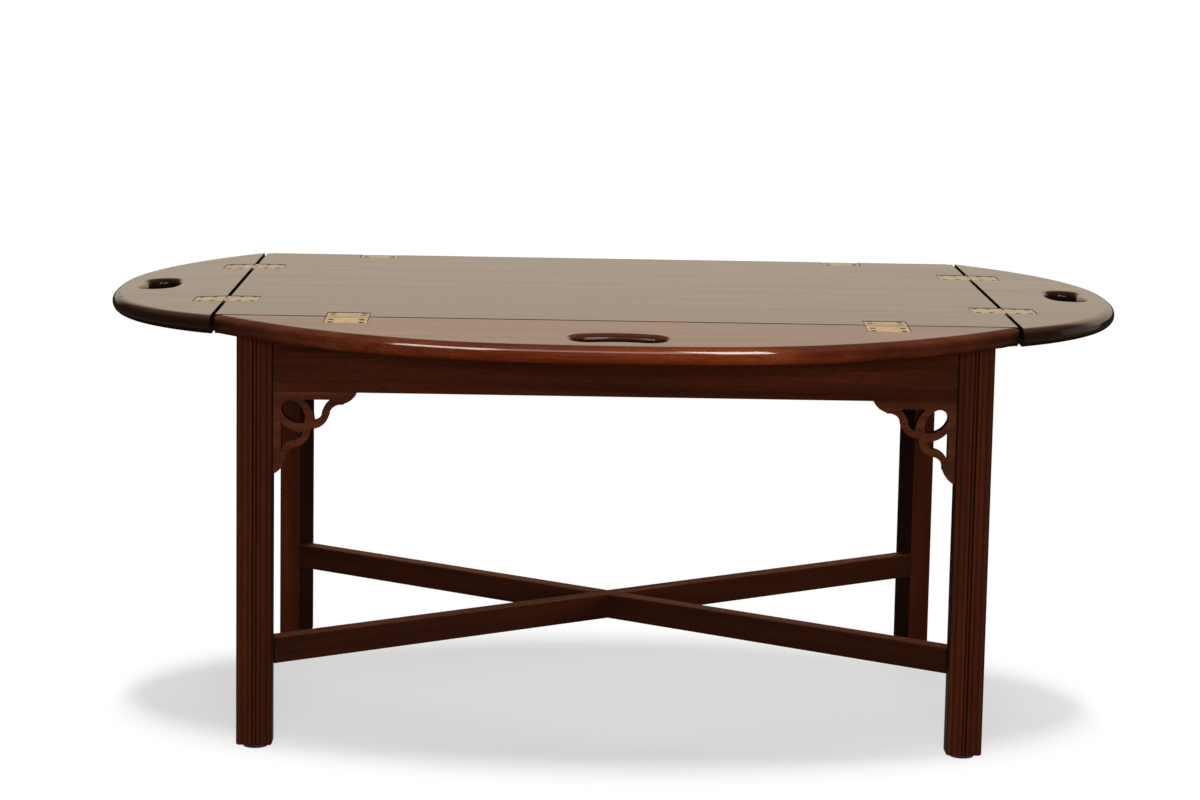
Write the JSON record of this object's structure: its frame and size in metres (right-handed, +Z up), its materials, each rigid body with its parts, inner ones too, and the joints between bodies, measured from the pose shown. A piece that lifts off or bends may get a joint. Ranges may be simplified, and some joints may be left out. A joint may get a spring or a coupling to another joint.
{
  "type": "butlers tray table",
  "caption": "Low oval butler's tray table: stand with moulded legs, fret brackets and crossed stretchers; lift-off tray with fold-up flaps, hand holes and brass hinges.",
  "frame": {"origin": "on the floor, under the centre of the tray", "axes": "+X along the tray's length, the front faces -Y, +Z up"},
  "size_m": [1.0943, 0.8625, 0.457],
  "materials": {
    "tray_mahogany": "polished",
    "stand_mahogany": "polished",
    "frame_hardwood": "sawn",
    "hinge_brass": "aged",
    "screw_brass": "aged",
    "spring_steel": "tempered",
    "screw_steel": "zinc",
    "glide_plastic": "matte"
  },
  "bodies": {
    "stand": {"apron_back": "stand_mahogany", "apron_front": "stand_mahogany", "apron_left": "stand_mahogany", "apron_right": "stand_mahogany", "corner_block_back_left": "frame_hardwood", "corner_block_back_right": "frame_hardwood", "corner_block_front_left": "frame_hardwood", "corner_block_front_right": "frame_hardwood", "corner_block_screws": "screw_steel", "foot_glides": "glide_plastic", "fret_back_left": "stand_mahogany", "fret_back_right": "stand_mahogany", "fret_front_left": "stand_mahogany", "fret_front_right": "stand_mahogany", "fret_left_back": "stand_mahogany", "fret_left_front": "stand_mahogany", "fret_right_back": "stand_mahogany", "fret_right_front": "stand_mahogany", "leg_back_left": "stand_mahogany", "leg_back_right": "stand_mahogany", "leg_front_left": "stand_mahogany", "leg_front_right": "stand_mahogany", "stretcher_over": "stand_mahogany", "stretcher_under": "stand_mahogany"},
    "tray": {"batten_back": "frame_hardwood", "batten_front": "frame_hardwood", "batten_left": "frame_hardwood", "batten_right": "frame_hardwood", "batten_screws": "screw_steel", "hinge_pins": "hinge_brass", "hinge_springs": "spring_steel", "panel_leaf_back_left": "hinge_brass", "panel_leaf_back_right": "hinge_brass", "panel_leaf_front_left": "hinge_brass", "panel_leaf_front_right": "hinge_brass", "panel_leaf_left_back": "hinge_brass", "panel_leaf_left_front": "hinge_brass", "panel_leaf_right_back": "hinge_brass", "panel_leaf_right_front": "hinge_brass", "panel_leaf_screws": "screw_brass", "tray_panel": "tray_mahogany"},
    "flap_front": {"flap_front": "tray_mahogany", "flap_leaf_front_left": "hinge_brass", "flap_leaf_front_right": "hinge_brass", "flap_leaf_screws_front": "screw_brass"},
    "flap_back": {"flap_back": "tray_mahogany", "flap_leaf_back_left": "hinge_brass", "flap_leaf_back_right": "hinge_brass", "flap_leaf_screws_back": "screw_brass"},
    "flap_left": {"flap_leaf_left_back": "hinge_brass", "flap_leaf_left_front": "hinge_brass", "flap_leaf_screws_left": "screw_brass", "flap_left": "tray_mahogany"},
    "flap_right": {"flap_leaf_right_back": "hinge_brass", "flap_leaf_right_front": "hinge_brass", "flap_leaf_screws_right": "screw_brass", "flap_right": "tray_mahogany"}
  },
  "joints": [
    {"name": "tray_lift", "type": "slide", "parent": "stand", "child": "tray", "axis": [0, 0, 1], "range_m": [0, 0.15]},
    {"name": "flap_front_fold", "type": "hinge", "parent": "tray", "child": "flap_front", "pos_m": [0, -0.2955, 0.4551], "axis": [-1, 0, 0], "range_deg": [0, 93.8]},
    {"name": "flap_back_fold", "type": "hinge", "parent": "tray", "child": "flap_back", "pos_m": [0, 0.2955, 0.4551], "axis": [1, 0, 0], "range_deg": [0, 96.5]},
    {"name": "flap_left_fold", "type": "hinge", "parent": "tray", "child": "flap_left", "pos_m": [-0.4105, 0, 0.4551], "axis": [0, 1, 0], "range_deg": [0, 92.5]},
    {"name": "flap_right_fold", "type": "hinge", "parent": "tray", "child": "flap_right", "pos_m": [0.4105, 0, 0.4551], "axis": [0, -1, 0], "range_deg": [0, 91]}
  ]
}
